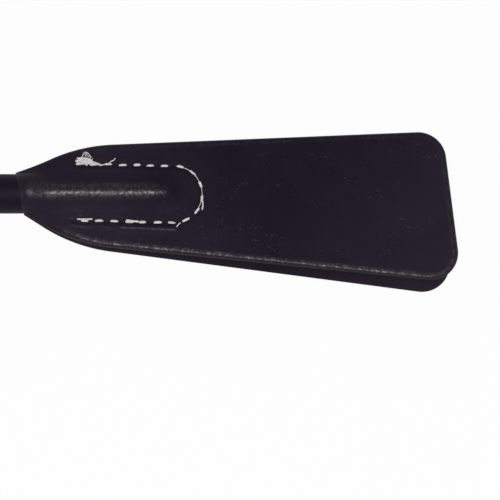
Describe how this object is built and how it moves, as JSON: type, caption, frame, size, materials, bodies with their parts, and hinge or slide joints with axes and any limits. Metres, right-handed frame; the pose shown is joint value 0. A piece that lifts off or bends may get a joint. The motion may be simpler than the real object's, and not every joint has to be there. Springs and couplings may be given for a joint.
{
  "type": "riding crop",
  "caption": "Short riding crop with a braided shaft, a wound leather grip, a metal cap and collar, and a wide flap of stitched leather leaves.",
  "frame": {"origin": "centre of the butt cap's flat end face", "axes": "+X along the shaft's axis from the butt cap to the flap, +Y across the flap, +Z out of the flap's front leaf"},
  "size_m": [0.5611, 0.0399, 0.028],
  "materials": {
    "glass_fibre": "smooth resin",
    "black_braid": "waxed braid",
    "black_thread": "waxed thread",
    "black_leather": "waxed leather with a satin sheen",
    "white_thread": "twisted thread",
    "core_wood": "turned",
    "nickel": "nickel plate"
  },
  "bodies": {
    "crop": {"rod": "glass_fibre", "braided_cover": "black_braid", "tip_whipping": "black_thread", "front_leaf_sewn": "black_leather", "back_leaf_sewn": "black_leather", "front_stitches": "white_thread", "back_stitches": "white_thread", "handle_core": "core_wood", "grip_leather": "black_leather", "grip_whipping": "black_thread", "cap": "nickel", "cap_pin": "nickel", "collar": "nickel", "collar_pin": "nickel"},
    "flap_front": {"front_leaf_free": "black_leather"},
    "flap_back": {"back_leaf_free": "black_leather"}
  },
  "joints": [
    {"name": "flap_bend", "type": "hinge", "parent": "crop", "child": "flap_front", "pos_m": [0.502, 0, 0], "axis": [0, -1, 0], "range_deg": [-50, 50], "stiffness_Nm_per_rad": 0.3},
    {"name": "leaf_gape", "type": "hinge", "parent": "flap_front", "child": "flap_back", "pos_m": [0.502, 0, 0], "axis": [0, 1, 0], "range_deg": [0, 30], "stiffness_Nm_per_rad": 0.15}
  ]
}
